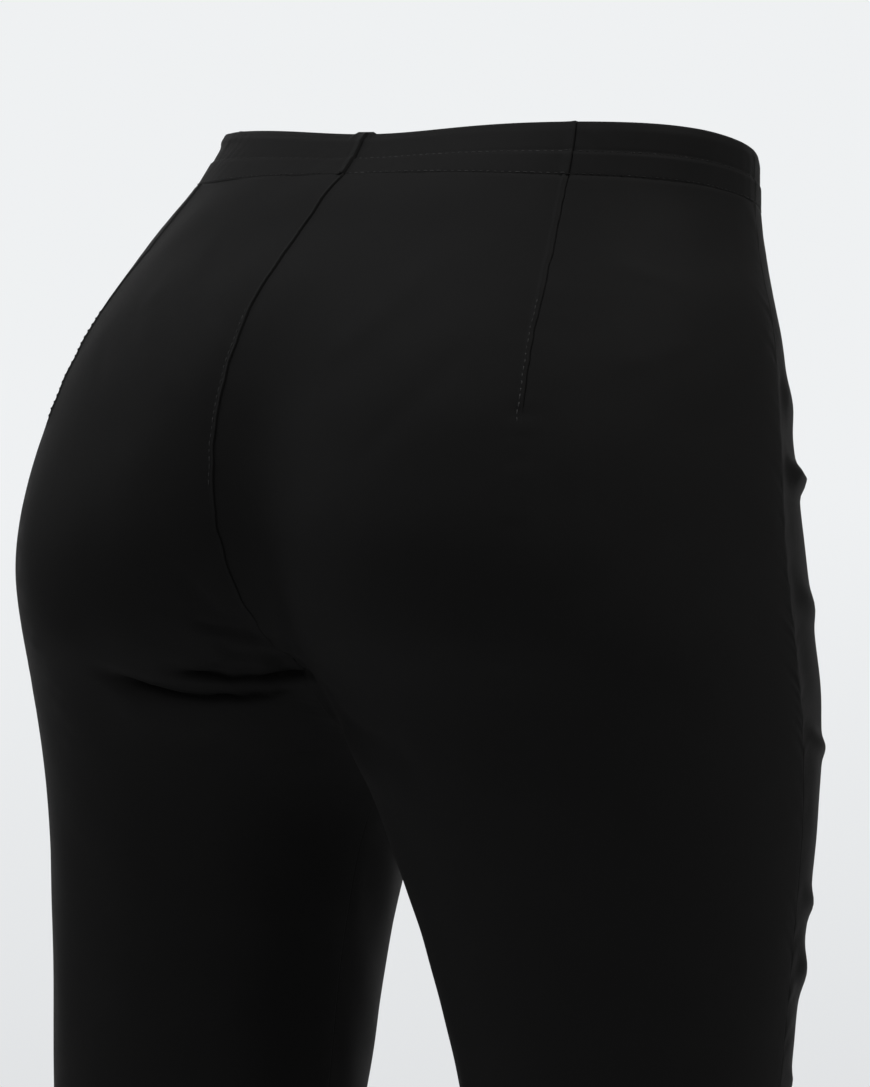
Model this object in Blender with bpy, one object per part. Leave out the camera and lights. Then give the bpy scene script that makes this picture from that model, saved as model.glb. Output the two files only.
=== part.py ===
"""Pull-on capri trousers with a hollow, worn shape, for Blender 4.5. Metres, +Z up.

The waist opening's centre is the origin. The front faces -Y, and the wearer's left is +X.
Every piece is cloth: two backs and two fronts, and the waist casing along their top edges.
"Drop" is a distance below the waist edge. "Bearing" is an angle round one half's own axis:
0 points outwards from the body, +90 to the back, -90 to the front and 180 to the other leg.
"""
import bpy
import numpy as np

# ---------------------------------------------------------------- driving sizes
LENGTH = 0.760            # waist edge to hem
CLOTH = 0.0016            # one layer of the stretch cloth
HEM_DEPTH = 0.020         # turned-up hem
HEM_LAYERS = 0.0030       # its doubled cloth
HEM_STEP = 0.0015         # over which the wall thickens
CASING_DEPTH = 0.0240     # turned-down waist casing
CASING_ROW = 0.0130       # stitched row between its two channels
CASING_LAYERS = 0.0030    # doubled cloth with elastic between
SEAM_GAP = 0.0003         # between neighbouring pieces
HALF_GAP = SEAM_GAP / 2

# The waist edge isn't level: highest at the sides of the back, dipping at both centres.
WAIST_LIFT = 0.0028       # of its line above the origin, at WAIST_PEAK
WAIST_BOW = 1.1           # drop for each square metre from the line of WAIST_PEAK
WAIST_PEAK = 0.045        # distance behind the origin
WAIST_TILT = 0.035        # rise for each metre towards the wearer's left
WAIST_DIP = 0.0035        # further drop at both centres
WAIST_DIP_WIDTH = 0.050
WAIST_FADE = 0.140        # the waist's own line has faded out this far down

# Over the flare of the seat the cloth's level lines ride up at the centre back.
SEAT_LIFT = 0.0125
SEAT_LIFT_WIDTH = 0.078
SEAT_LIFT_FULL = 0.045    # drop at which they ride up most
SEAT_LIFT_END = 0.170

# Each half is an oval at every drop, with its own axis and a radius for each quarter.
# The left leg carries the weight and the right leg is eased.
HALF_COLUMNS = ("drop", "x", "y", "outer", "inner", "back", "front")
LEFT_HALF = (
    (0.000, 0.000, 0.000, 0.1195, 0.125, 0.0735, 0.088),
    (0.025, 0.011, 0.002, 0.1200, 0.124, 0.088, 0.089),
    (0.050, 0.028, 0.009, 0.1195, 0.122, 0.098, 0.092),
    (0.075, 0.044, 0.018, 0.1145, 0.120, 0.110, 0.096),
    (0.130, 0.066, 0.031, 0.1080, 0.110, 0.122, 0.106),
    (0.185, 0.082, 0.036, 0.0980, 0.102, 0.1245, 0.112),
    (0.210, 0.087, 0.035, 0.0940, 0.096, 0.119, 0.111),
    (0.235, 0.092, 0.032, 0.0960, 0.086, 0.106, 0.108),
    (0.280, 0.107, 0.025, 0.0865, 0.070, 0.0915, 0.090),
    (0.340, 0.120, 0.024, 0.0780, 0.0665, 0.078, 0.081),
    (0.420, 0.130, 0.025, 0.0700, 0.0662, 0.070, 0.072),
    (0.530, 0.137, 0.030, 0.0600, 0.056, 0.060, 0.062),
    (0.620, 0.140, 0.036, 0.0560, 0.056, 0.060, 0.056),
    (0.760, 0.144, 0.036, 0.0550, 0.055, 0.056, 0.054),
)
RIGHT_HALF = (
    (0.000, 0.000, 0.000, 0.1288, 0.125, 0.0735, 0.088),
    (0.025, -0.007, 0.002, 0.1230, 0.124, 0.088, 0.090),
    (0.050, -0.018, 0.008, 0.1180, 0.122, 0.097, 0.092),
    (0.075, -0.028, 0.014, 0.1165, 0.120, 0.109, 0.096),
    (0.130, -0.048, 0.026, 0.1080, 0.110, 0.122, 0.106),
    (0.185, -0.064, 0.028, 0.0975, 0.105, 0.1265, 0.111),
    (0.210, -0.067, 0.026, 0.0965, 0.103, 0.121, 0.1115),
    (0.235, -0.070, 0.022, 0.0940, 0.099, 0.108, 0.111),
    (0.280, -0.075, 0.018, 0.0890, 0.087, 0.096, 0.103),
    (0.340, -0.077, 0.014, 0.0820, 0.068, 0.0825, 0.087),
    (0.420, -0.083, 0.012, 0.0692, 0.057, 0.069, 0.072),
    (0.530, -0.089, 0.018, 0.0600, 0.056, 0.060, 0.062),
    (0.620, -0.093, 0.028, 0.0560, 0.056, 0.060, 0.056),
    (0.760, -0.097, 0.038, 0.0550, 0.055, 0.056, 0.054),
)

# What both share: the plane of the centre seams, how square the ovals are, how softly they join.
SHARED_COLUMNS = ("drop", "seam_x", "square", "join")
SHARED = (
    (0.000, 0.0020, 2.35, 0.000),
    (0.025, 0.0010, 2.35, 0.005),
    (0.050, 0.0070, 2.35, 0.010),
    (0.075, 0.0140, 2.30, 0.020),
    (0.130, 0.0220, 2.25, 0.035),
    (0.185, 0.0200, 2.20, 0.040),
    (0.235, 0.0165, 2.15, 0.030),
    (0.262, 0.0220, 2.12, 0.022),
    (0.340, 0.0240, 2.10, 0.010),
    (0.420, 0.0240, 2.05, 0.002),
    (0.530, 0.0240, 2.00, 0.002),
    (0.760, 0.0235, 2.00, 0.002),
)

# Bearings of the seams and of the back dart, in degrees. Past its point the dart's line is plain cloth.
LINE_COLUMNS = ("drop", "side_seam", "dart", "dart_spread")
LINES = (
    (0.000, -13.0, 30.5, 1.6),
    (0.020, -14.0, 34.5, 1.6),
    (0.050, -15.0, 41.0, 1.6),
    (0.090, -17.0, 49.3, 1.6),
    (0.125, -18.0, 54.3, 1.8),
    (0.180, -18.0, 62.0, 8.0),
    (0.260, -19.0, 74.0, 10.0),
    (0.380, -17.0, 82.0, 11.0),
    (0.760, -12.0, 84.0, 12.0),
)
DART_LENGTH = 0.125
DART_POINT = 0.020        # over which it runs out
DART_SHARE = 0.37         # of a back's width, from the side seam to the dart
DART_GROOVE = 0.0010      # depth of the stitched line
DART_RIDGE = 0.0006       # the dart's folded cloth beside it, towards the centre back

# Rows of the panels' meshes: (down to this drop, this far apart), along the side seam.
ROWS_ABOVE_CROTCH = (
    (0.136, 0.0210),
    (0.160, 0.0050),
    (0.190, 0.0130),
    (0.218, 0.0090),
    (0.244, 0.0050),
    (LENGTH, 0.0090),
)
ROWS_BELOW_CROTCH = (
    (0.410, 0.0130),
    (LENGTH - HEM_DEPTH - HEM_STEP, 0.0300),
    (LENGTH - HEM_DEPTH, HEM_STEP),
    (LENGTH, HEM_DEPTH),
)

# Columns: (fraction of a panel's width, height of its rolled edge there), from each seam.
EDGE_ROLL = ((0.0, -0.0006), (0.014, 0.0003), (0.045, 0.0))
FRONT_COLUMNS = 12        # between the two rolled edges
SIDE_TO_DART_COLUMNS = 5
DART_TO_CENTRE_COLUMNS = 7

# Folds: soft ridges (rise above 0) and troughs (below 0), on the wearer's left (1) or right (-1) half.
FOLD_COLUMNS = ("half", "from_bearing", "from_drop", "to_bearing", "to_drop", "sag", "width", "rise")
FOLDS = (
    # under the seat of the standing leg
    (1, 82, 0.2245, 138, 0.2325, 0.0085, 0.0055, -0.0042),
    (1, 102, 0.2245, 144, 0.2255, 0.0055, 0.0042, -0.0034),
    (1, 88, 0.236, 136, 0.247, 0.0080, 0.0070, 0.0018),
    (1, 100, 0.216, 140, 0.2185, 0.0050, 0.0050, 0.0012),
    (1, 112, 0.197, 130, 0.212, 0.0000, 0.0060, -0.0010),
    # under the seat of the eased leg, softer, and the ridge that runs down inside its thigh
    (-1, 96, 0.262, 132, 0.240, 0.0040, 0.0110, -0.0012),
    (-1, 160, 0.246, 96, 0.279, 0.0000, 0.0110, 0.0018),
    # across the front of the eased thigh
    (-1, -20, 0.108, -50, 0.122, 0.0000, 0.0100, 0.0022),
    (-1, -21, 0.141, -66, 0.152, 0.0020, 0.0046, 0.0040),
    (-1, -22, 0.190, -84, 0.214, 0.0030, 0.0060, 0.0014),
    (-1, -21, 0.250, -92, 0.268, 0.0050, 0.0040, 0.0016),
    (-1, -22, 0.318, -86, 0.334, 0.0040, 0.0050, 0.0018),
    (-1, -22, 0.347, -72, 0.359, 0.0030, 0.0080, 0.0024),
    (-1, -20, 0.394, -95, 0.408, 0.0040, 0.0045, 0.0014),
    # across the front of the standing thigh
    (1, -22, 0.150, -60, 0.164, 0.0020, 0.0080, 0.0024),
    (1, -24, 0.212, -80, 0.230, 0.0040, 0.0095, 0.0020),
    (1, -22, 0.286, -94, 0.300, 0.0050, 0.0100, 0.0024),
    (1, -24, 0.352, -70, 0.366, 0.0030, 0.0090, 0.0016),
    # where each thigh meets the body at the front
    (1, -158, 0.226, -66, 0.158, 0.0080, 0.0090, -0.0028),
    (1, -160, 0.242, -92, 0.210, 0.0060, 0.0080, -0.0018),
    (-1, -158, 0.220, -70, 0.166, 0.0060, 0.0090, -0.0022),
    (-1, -160, 0.238, -88, 0.216, 0.0060, 0.0085, 0.0020),
    # at the back and the front of the knees
    (1, 40, 0.498, 150, 0.506, 0.0060, 0.0140, -0.0026),
    (1, 50, 0.532, 140, 0.524, -0.0040, 0.0140, 0.0022),
    (-1, 36, 0.508, 148, 0.496, 0.0060, 0.0140, -0.0030),
    (-1, 46, 0.538, 138, 0.530, -0.0040, 0.0140, 0.0024),
    (1, -140, 0.470, -50, 0.462, 0.0060, 0.0150, 0.0018),
    (-1, -138, 0.462, -48, 0.474, 0.0060, 0.0150, 0.0022),
)
FOLD_END = 0.22           # share of a fold's length in which each end fades

# The casing's outer profile: (drop, height above the form). Two soft channels with a stitched row between.
CASING_OUTSIDE = (
    (CASING_DEPTH, 0.0000),
    (0.0215, 0.0004),
    (0.0184, 0.0006),
    (0.0150, 0.0004),
    (CASING_ROW, 0.0000),
    (0.0108, 0.0005),
    (0.0065, 0.0008),
    (0.0020, 0.0005),
    (0.0000, -0.0004),
)
CASING_ROUNDING = 0.0006  # of the fold along the top, on the inside
CASING_SEGMENTS = 14

# The cloth: black, close and slightly lustrous.
CLOTH_COLOUR = (0.010, 0.010, 0.011, 1.0)
CASING_COLOUR = (0.012, 0.012, 0.013, 1.0)
CLOTH_ROUGHNESS = 0.62

REACH = 0.35              # further from an axis than any surface
STEP = 0.0002             # for slopes


# ---------------------------------------------------------------- the form
def columns(names, rows, prefix=""):
    """A table's columns by name, each with its slopes, for reading as a smooth curve."""
    values = dict(zip(names, np.array(rows, float).T))
    drop = values.pop("drop")
    return {prefix + name: (drop, column, np.gradient(column, drop)) for name, column in values.items()}


CURVES = {
    **columns(HALF_COLUMNS, LEFT_HALF, "left_"),
    **columns(HALF_COLUMNS, RIGHT_HALF, "right_"),
    **columns(SHARED_COLUMNS, SHARED),
    **columns(LINE_COLUMNS, LINES),
}


def curve(name, drop):
    """Read one column of the tables at any drop, on a cubic through its rows."""
    at, value, slope = CURVES[name]
    drop = np.clip(drop, at[0], at[-1])
    i = np.clip(np.searchsorted(at, drop, side="right") - 1, 0, len(at) - 2)
    h = at[i + 1] - at[i]
    t = (drop - at[i]) / h
    return (value[i] * (1 + 2 * t) * (1 - t) ** 2 + slope[i] * h * t * (1 - t) ** 2
            + value[i + 1] * t * t * (3 - 2 * t) + slope[i + 1] * h * t * t * (t - 1))


def ease(t):
    t = np.clip(t, 0.0, 1.0)
    return t * t * (3.0 - 2.0 * t)


def bell(distance, width):
    return np.exp(-(distance / width) ** 2)


def half_size(half, name, drop):
    """One column of a half's own table at any drop."""
    return curve(("left_" if half > 0 else "right_") + name, drop)


def axis(half, drop):
    return half_size(half, "x", drop), half_size(half, "y", drop)


def oval(half, x, y, drop):
    """Signed distance (negative inside) along the ray from a half's axis to its oval."""
    centre_x, centre_y = axis(half, drop)
    out, back = half * (x - centre_x), y - centre_y
    wide = np.where(out > 0, half_size(half, "outer", drop), half_size(half, "inner", drop))
    deep = np.where(back > 0, half_size(half, "back", drop), half_size(half, "front", drop))
    power = curve("square", drop)
    scale = ((np.abs(out) / wide) ** power + (np.abs(back) / deep) ** power) ** (1.0 / power)
    radius = np.hypot(out, back)
    return radius - radius / np.maximum(scale, 1e-6)


def form(x, y, drop):
    """The whole garment's form: the two halves, smoothly joined."""
    left, right = oval(1, x, y, drop), oval(-1, x, y, drop)
    soft = np.maximum(curve("join", drop), 1e-5)
    near = np.maximum(soft - np.abs(left - right), 0.0) / soft
    return np.minimum(left, right) - near ** 3 * soft / 6.0


def reach(x, y, along_x, along_y, drop, far):
    """Distance from a point inside to the form, along a level direction."""
    low = np.zeros_like(drop)
    high = np.zeros_like(drop) + far
    for _ in range(36):
        middle = (low + high) / 2
        inside = form(x + middle * along_x, y + middle * along_y, drop) < 0
        low, high = np.where(inside, middle, low), np.where(inside, high, middle)
    return (low + high) / 2


def waist_line(x, y, drop):
    """Height of the cloth's level lines: the waist's own, faded out down the seat, and the seat's lift."""
    line = WAIST_LIFT + WAIST_TILT * x - WAIST_BOW * (y - WAIST_PEAK) ** 2
    line = line - WAIST_DIP * bell(x, WAIST_DIP_WIDTH)
    over_seat = bell(x, SEAT_LIFT_WIDTH) * ease(y / SEAT_LIFT_WIDTH)
    past_full = (drop - SEAT_LIFT_FULL) / (SEAT_LIFT_END - SEAT_LIFT_FULL)
    lift = SEAT_LIFT * over_seat * ease(drop / SEAT_LIFT_FULL) * (1.0 - ease(past_full))
    return line * (1.0 - ease(drop / WAIST_FADE)) + lift


def place(x, y, drop):
    return np.stack([x, y, waist_line(x, y, drop) - drop], axis=-1)


def outward(x, y, drop):
    """Unit normal of the form in space."""
    by_x = (form(x + STEP, y, drop) - form(x - STEP, y, drop)) / (2 * STEP)
    by_y = (form(x, y + STEP, drop) - form(x, y - STEP, drop)) / (2 * STEP)
    by_drop = (form(x, y, drop + STEP) - form(x, y, drop - STEP)) / (2 * STEP)
    rise_x = (waist_line(x + STEP, y, drop) - waist_line(x - STEP, y, drop)) / (2 * STEP)
    rise_y = (waist_line(x, y + STEP, drop) - waist_line(x, y - STEP, drop)) / (2 * STEP)
    fall = -1.0 + (waist_line(x, y, drop + STEP) - waist_line(x, y, drop - STEP)) / (2 * STEP)
    upward = by_drop / fall
    normal = np.stack([by_x - upward * rise_x, by_y - upward * rise_y, upward], axis=-1)
    return normal / np.linalg.norm(normal, axis=-1, keepdims=True)


def squared(normal, sideways):
    """Normals with the named sideways parts taken out, so that both edges of a centre seam face squarely."""
    normal[sideways] = 0.0
    return normal / np.linalg.norm(normal, axis=-1, keepdims=True)


def find_crotch():
    """Drop and depth (y) of the point where the centre back and centre front seams meet."""
    depth = np.linspace(-0.05, 0.10, 301)
    low, high = 0.20, 0.34
    for _ in range(40):
        middle = (low + high) / 2
        drop = np.full_like(depth, middle)
        values = form(curve("seam_x", drop), depth, drop)
        if values.min() < 0:
            low, meeting = middle, depth[values.argmin()]
        else:
            high = middle
    return low, meeting


CROTCH_DROP, CROTCH_Y = find_crotch()


def centre_seam(half, face, drop):
    """x and y of a half's centre seam: face 1 is the back, -1 the front."""
    x = curve("seam_x", drop)
    y = np.full_like(drop, CROTCH_Y)
    return x + half * HALF_GAP, y + face * np.maximum(reach(x, y, 0.0, face, drop, REACH), HALF_GAP)


def inner_bearing(half, face, drop):
    """Bearing of a panel's inner edge: the centre seam down to the crotch, then the inseam."""
    above = np.minimum(drop, CROTCH_DROP)
    centre_x, centre_y = axis(half, above)
    x, y = centre_seam(half, face, above)
    seam = np.degrees(np.arctan2(y - centre_y, half * (x - centre_x)))
    seam = np.where(face * seam < 0, seam + face * 360.0, seam)
    straight = face * 180.0 - face * np.degrees(HALF_GAP / half_size(half, "inner", drop))
    return seam + (straight - seam) * ease((drop - CROTCH_DROP) / 0.06)


def on_form(half, bearing, drop):
    """x and y of the form at a bearing and drop. A ray that points at the other leg stops at the centre."""
    angle = np.radians(bearing)
    centre_x, centre_y = axis(half, drop)
    along_x, along_y = half * np.cos(angle), np.sin(angle)
    room = half * (centre_x - curve("seam_x", drop)) - HALF_GAP
    inward = -half * along_x
    far = np.where(inward > 1e-6, np.clip(room / np.maximum(inward, 1e-6), 0.0, REACH), REACH)
    length = reach(centre_x, centre_y, along_x, along_y, drop, far)
    return centre_x + length * along_x, centre_y + length * along_y


def fold_height(half, bearing, drop):
    """Height of all folds together at points of one half."""
    height = np.zeros_like(drop)
    for row in FOLDS:
        fold = dict(zip(FOLD_COLUMNS, row))
        if fold["half"] != half:
            continue
        t = (bearing - fold["from_bearing"]) / (fold["to_bearing"] - fold["from_bearing"])
        crest = fold["from_drop"] + (fold["to_drop"] - fold["from_drop"]) * t + 4 * fold["sag"] * t * (1 - t)
        ends = ease(t / FOLD_END) * ease((1 - t) / FOLD_END)
        height += fold["rise"] * ends * bell(drop - crest, fold["width"])
    return height


# ---------------------------------------------------------------- meshes
def finish(name, points, faces, colour, collection):
    """One named object from its points and faces, with its own material."""
    mesh = bpy.data.meshes.new(name)
    mesh.from_pydata(points, [], faces)
    mesh.shade_smooth()
    mesh.set_sharp_from_angle(angle=np.radians(40))
    material = bpy.data.materials.new(name + "_cloth")
    material.use_nodes = True
    surface = material.node_tree.nodes["Principled BSDF"]
    surface.inputs["Base Color"].default_value = colour
    surface.inputs["Roughness"].default_value = CLOTH_ROUGHNESS
    surface.inputs["Metallic"].default_value = 0.0
    surface.inputs["Sheen Weight"].default_value = 0.15
    mesh.materials.append(material)
    piece = bpy.data.objects.new(name, mesh)
    collection.objects.link(piece)
    return piece


def wall(name, outside, inside, flip, colour, collection):
    """A closed wall between two grids of the same size: outer sheet, inner sheet and the four edges."""
    rows, across = outside.shape[:2]
    count = rows * across
    points = np.concatenate([outside.reshape(-1, 3), inside.reshape(-1, 3)]).tolist()
    faces = []
    for r in range(rows - 1):
        for c in range(across - 1):
            a, b, d, e = r * across + c, r * across + c + 1, (r + 1) * across + c, (r + 1) * across + c + 1
            faces.append((a, d, e, b))
            faces.append((a + count, b + count, e + count, d + count))
    rim = [r * across for r in range(rows)]
    rim += [(rows - 1) * across + c for c in range(1, across)]
    rim += [r * across + across - 1 for r in range(rows - 2, -1, -1)]
    rim += list(range(across - 2, 0, -1))
    for a, b in zip(rim, rim[1:] + rim[:1]):
        faces.append((b, a, a + count, b + count))
    if flip:
        faces = [face[::-1] for face in faces]
    return finish(name, points, faces, colour, collection)


def row_drops(start, end, pitches):
    """Drops of rows from start to end, each table row's pitch holding down to its own drop."""
    drops = [start]
    for down_to, pitch in pitches:
        stop = min(down_to, end)
        if stop <= drops[-1]:
            continue
        count = max(1, round((stop - drops[-1]) / pitch))
        drops += list(np.linspace(drops[-1], stop, count + 1)[1:])
    return np.array(drops)


def panel_rows(half, face):
    """For each row of a panel: its drop at the side seam and at its inner edge."""
    top = CASING_DEPTH + HALF_GAP
    above = row_drops(top, CROTCH_DROP, ROWS_ABOVE_CROTCH)
    below = row_drops(CROTCH_DROP, LENGTH, ROWS_BELOW_CROTCH)[1:]
    # the centre seam runs level into the crotch, so its rows are spaced by their length along it
    share = np.linspace(0.0, 1.0, 400)
    drop = CROTCH_DROP - (CROTCH_DROP - top) * (1.0 - share) ** 2
    x, y = centre_seam(half, face, drop)
    steps = np.linalg.norm(np.diff(place(x, y, drop), axis=0), axis=1)
    length = np.concatenate([[0.0], np.cumsum(steps)])
    fraction = (above - top) / (CROTCH_DROP - top)
    inner = np.interp(fraction * length[-1], length, drop)
    return np.concatenate([above, below]), np.concatenate([inner, below])


def spread_columns(count):
    """Fractions across a run of columns that starts with a rolled edge."""
    edge = [fraction for fraction, _ in EDGE_ROLL]
    return np.array(edge[:-1] + list(np.linspace(edge[-1], 1.0, count + 1)))


def panel_bearings(half, face, side_drop, inner_drop):
    """Drop and bearing of every point of a panel, and the number of the dart's column, if it has one."""
    if face < 0:
        edge = 1.0 - EDGE_ROLL[-1][0]
        run = spread_columns(FRONT_COLUMNS)
        run = np.concatenate([run * edge / run[-1], [1.0 - fraction for fraction, _ in EDGE_ROLL[-2::-1]]])
        fraction, dart_column = run, None
    else:
        to_dart = spread_columns(SIDE_TO_DART_COLUMNS)
        from_dart = 1.0 - spread_columns(DART_TO_CENTRE_COLUMNS)[::-1]
        past_dart = DART_SHARE + from_dart * (1 - DART_SHARE)
        fraction = np.concatenate([to_dart * DART_SHARE, [DART_SHARE], past_dart])
        dart_column = len(to_dart)
    drop = side_drop[:, None] + (inner_drop - side_drop)[:, None] * fraction
    start = curve("side_seam", drop) + face * np.degrees(HALF_GAP / half_size(half, "outer", drop))
    end = inner_bearing(half, face, drop)
    if dart_column is None:
        return drop, start + (end - start) * fraction, None
    dart, spread = curve("dart", drop), curve("dart_spread", drop)
    before = start + (dart - spread - start) * np.append(to_dart, np.ones(1 + len(from_dart)))
    after = dart + spread + (end - dart - spread) * np.append(np.zeros(1 + len(to_dart)), from_dart)
    number = np.arange(len(fraction))
    bearing = np.where(number < dart_column, before, np.where(number == dart_column, dart, after))
    return drop, bearing, dart_column


def panel(name, half, face, collection):
    """A back (face 1) or front (face -1) from the casing seam to the hem."""
    side_drop, inner_drop = panel_rows(half, face)
    drop, bearing, dart_column = panel_bearings(half, face, side_drop, inner_drop)
    x, y = on_form(half, bearing, drop)
    above = inner_drop <= CROTCH_DROP
    seam_x, seam_y = centre_seam(half, face, inner_drop[above])
    x[above, -1], y[above, -1] = seam_x, seam_y

    height = fold_height(half, bearing, drop)
    for step, (_, rise) in enumerate(EDGE_ROLL):
        height[:, step] += rise
        height[:, -1 - step] += rise
    if dart_column is not None:
        strength = ease((DART_LENGTH - drop) / DART_POINT)
        height[:, dart_column] -= DART_GROOVE * strength[:, dart_column]
        height[:, dart_column + 1] += DART_RIDGE * strength[:, dart_column + 1]
    surface = place(x, y, drop)
    normal = squared(outward(x, y, drop), np.s_[above, -1, 0])
    outside = surface + normal * height[..., None]
    hem = drop > LENGTH - HEM_DEPTH - HEM_STEP / 2
    thickness = np.where(hem, HEM_LAYERS, CLOTH) - np.minimum(height, 0.0)
    inside = surface - normal * thickness[..., None]
    return wall(name, outside, inside, half * face < 0, CLOTH_COLOUR, collection)


def casing(name, half, face, collection):
    """A quarter of the waist casing: its closed profile carried round from side seam to centre seam."""
    bottom = CASING_DEPTH - HALF_GAP
    outside = [(min(drop, bottom), height) for drop, height in CASING_OUTSIDE]
    inside = [(0.0, CASING_ROUNDING - CASING_LAYERS), (0.0020, -CASING_LAYERS), (bottom, -CASING_LAYERS)]
    profile = np.array(outside + inside)
    share = np.linspace(0.0, 1.0, CASING_SEGMENTS + 1)[:, None]
    drop = profile[:, 0] + 0 * share
    start = curve("side_seam", drop) + face * np.degrees(HALF_GAP / half_size(half, "outer", drop))
    end = inner_bearing(half, face, drop)
    x, y = on_form(half, start + (end - start) * share, drop)
    x[-1], y[-1] = centre_seam(half, face, drop[-1])
    normal = squared(outward(x, y, drop), np.s_[-1, :, 0])
    loops = place(x, y, drop) + normal * profile[:, 1, None]
    points = loops.reshape(-1, 3).tolist()
    size = len(profile)
    faces = [tuple(range(size)), tuple(reversed(range(CASING_SEGMENTS * size, (CASING_SEGMENTS + 1) * size)))]
    for step in range(CASING_SEGMENTS):
        for k in range(size):
            a, b = step * size + k, step * size + (k + 1) % size
            faces.append((a, a + size, b + size, b))
    if half * face < 0:
        faces = [corners[::-1] for corners in faces]
    return finish(name, points, faces, CASING_COLOUR, collection)


def main():
    for thing in list(bpy.data.objects):
        bpy.data.objects.remove(thing, do_unlink=True)
    collection = bpy.data.collections.new("capri_trousers")
    bpy.context.scene.collection.children.link(collection)
    for side, half in (("left", 1), ("right", -1)):
        for part, face in (("back", 1), ("front", -1)):
            panel(part + "_" + side, half, face, collection)
            casing("waist_casing_" + part + "_" + side, half, face, collection)


main()
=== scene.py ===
"""Looks of a pair of pull-on capri trousers in stretch cloth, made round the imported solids. Metres, +Z up.

The waist opening's centre is the origin. The front faces -Y, and the wearer's left is +X.
"Drop" is a distance below the waist edge. "Bearing" is an angle round one half's own axis:
0 points outwards from the body, +90 to the back, -90 to the front and 180 to the other leg.
"Half" is 1 on the wearer's left and -1 on the right; "face" is 1 for the back and -1 for the front.
"""
import math

import bpy
import numpy as np
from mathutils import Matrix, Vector


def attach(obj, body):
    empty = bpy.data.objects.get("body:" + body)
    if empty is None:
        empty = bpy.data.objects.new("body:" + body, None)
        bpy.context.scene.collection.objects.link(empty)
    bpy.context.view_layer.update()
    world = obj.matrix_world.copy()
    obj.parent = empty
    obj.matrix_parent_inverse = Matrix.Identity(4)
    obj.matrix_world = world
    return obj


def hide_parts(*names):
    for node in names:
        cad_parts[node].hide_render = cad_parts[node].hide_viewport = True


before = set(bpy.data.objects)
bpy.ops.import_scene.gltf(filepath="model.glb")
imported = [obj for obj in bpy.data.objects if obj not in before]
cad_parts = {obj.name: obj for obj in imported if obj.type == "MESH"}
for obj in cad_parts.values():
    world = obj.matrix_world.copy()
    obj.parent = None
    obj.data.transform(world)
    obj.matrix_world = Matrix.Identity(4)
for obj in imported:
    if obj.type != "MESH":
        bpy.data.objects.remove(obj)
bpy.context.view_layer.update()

# ---------------- the garment's sizes
LENGTH = 0.760  # waist edge to hem
CLOTH = 0.0011  # one layer of the stretch cloth
HEM_DEPTH = 0.020  # turned-up hem
HEM_LAYERS = 0.0024  # its doubled cloth
HEM_ROW = 0.0175  # its stitched row, above the edge
CASING_DEPTH = 0.0240  # turned-down waist casing
CASING_ROW = 0.0130  # stitched row between its two channels
LAST_ROW = CASING_DEPTH - 0.0008  # stitched row at its edge
CASING_LAYERS = 0.0030  # doubled cloth with elastic between

# The waist edge isn't level: highest at the sides of the back, dipping at both centres.
WAIST_LIFT = 0.0028  # of its line above the origin, at WAIST_PEAK
WAIST_BOW = 1.1  # fall with the square of the distance from there
WAIST_PEAK = 0.045  # distance behind the origin
WAIST_TILT = 0.035  # rise for each metre towards the wearer's left
WAIST_DIP = 0.0035  # at both centres
WAIST_DIP_WIDTH = 0.050
WAIST_FADE = 0.140  # drop at which this line has faded out

# Over the flare of the seat the cloth's level lines ride up at the centre back.
SEAT_LIFT = 0.0125
SEAT_LIFT_WIDTH = 0.078
SEAT_LIFT_FULL = 0.045  # drop at which they ride up most
SEAT_LIFT_END = 0.170

# Each half is an oval at every drop, with its own axis and a radius for each quarter.
# The left leg carries the weight and the right leg is eased.
HALF_COLUMNS = ("drop", "x", "y", "outer", "inner", "back", "front")
LEFT_HALF = (
    (0.0, 0.0, 0.0, 0.1195, 0.125, 0.0735, 0.088),
    (0.025, 0.011, 0.002, 0.12, 0.124, 0.088, 0.089),
    (0.05, 0.028, 0.009, 0.1195, 0.122, 0.098, 0.092),
    (0.075, 0.044, 0.018, 0.1145, 0.12, 0.11, 0.096),
    (0.13, 0.066, 0.031, 0.108, 0.11, 0.122, 0.106),
    (0.185, 0.082, 0.036, 0.098, 0.102, 0.1245, 0.112),
    (0.21, 0.087, 0.035, 0.094, 0.096, 0.119, 0.111),
    (0.235, 0.092, 0.032, 0.096, 0.086, 0.106, 0.108),
    (0.28, 0.107, 0.025, 0.0865, 0.07, 0.0915, 0.09),
    (0.34, 0.12, 0.024, 0.078, 0.0665, 0.078, 0.081),
    (0.42, 0.13, 0.025, 0.07, 0.0662, 0.07, 0.072),
    (0.53, 0.137, 0.03, 0.06, 0.056, 0.06, 0.062),
    (0.62, 0.14, 0.036, 0.056, 0.056, 0.06, 0.056),
    (0.76, 0.144, 0.036, 0.055, 0.055, 0.056, 0.054),
)
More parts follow.
